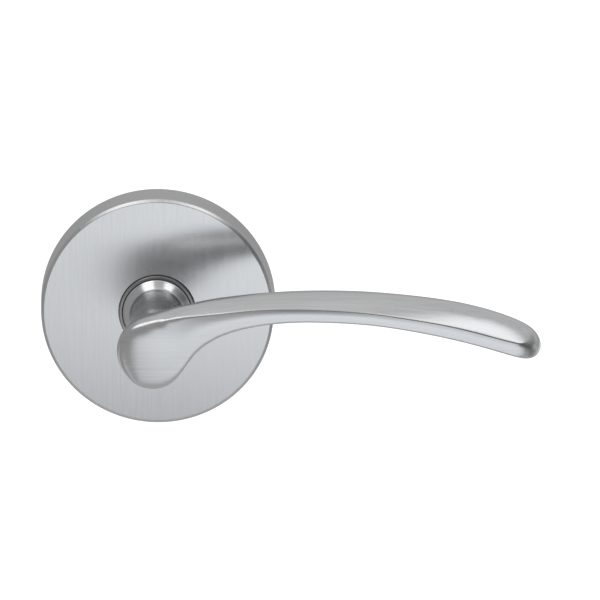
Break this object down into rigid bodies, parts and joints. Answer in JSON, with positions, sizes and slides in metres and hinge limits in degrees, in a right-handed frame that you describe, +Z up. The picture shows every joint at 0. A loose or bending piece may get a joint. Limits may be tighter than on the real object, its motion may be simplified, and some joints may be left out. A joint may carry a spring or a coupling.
{
  "type": "door lever handle on round rose",
  "caption": "Sculpted lever on a sprung round rose, one side of a passage door set: the lever turns down, winds a torsion spring and turns a square spindle.",
  "frame": {"origin": "where the spindle's axis crosses the face of the door the rose sits on", "axes": "+Z up, +Y along the spindle into the door, -Y out into the room, +X along the lever from its neck to its tip"},
  "size_m": [0.1402, 0.1145, 0.0666],
  "materials": {
    "satin_chrome": "satin, brushed",
    "zinc_steel": "zinc plated",
    "spring_steel": "oiled",
    "nylon": "moulded",
    "cast_zinc": "as cast"
  },
  "bodies": {
    "trim": {"rose_cover": "satin_chrome", "rose_collar": "satin_chrome", "mounting_plate": "zinc_steel", "bearing_bush": "nylon", "wave_washer": "spring_steel", "spring_housing": "zinc_steel", "return_spring": "spring_steel", "stop_pin_rest": "zinc_steel", "stop_pin_turned": "zinc_steel", "rose_set_screw": "zinc_steel", "fixing_screw_left": "zinc_steel", "fixing_screw_right": "zinc_steel", "rivet_1": "zinc_steel", "rivet_2": "zinc_steel", "rivet_3": "zinc_steel", "rivet_4": "zinc_steel", "door_spur_upper": "zinc_steel", "door_spur_lower": "zinc_steel"},
    "lever": {"lever_handle": "satin_chrome", "lever_set_screw": "zinc_steel", "thrust_washer": "zinc_steel", "circlip": "spring_steel", "drive_rotor": "cast_zinc", "spindle": "zinc_steel"}
  },
  "joints": [
    {"name": "lever_turn", "type": "hinge", "parent": "trim", "child": "lever", "pos_m": [0, 0, 0], "axis": [0, 1, 0], "range_deg": [0, 50], "stiffness_Nm_per_rad": 0.8, "springref_deg": -34.38, "deforming": ["return_spring"]}
  ]
}
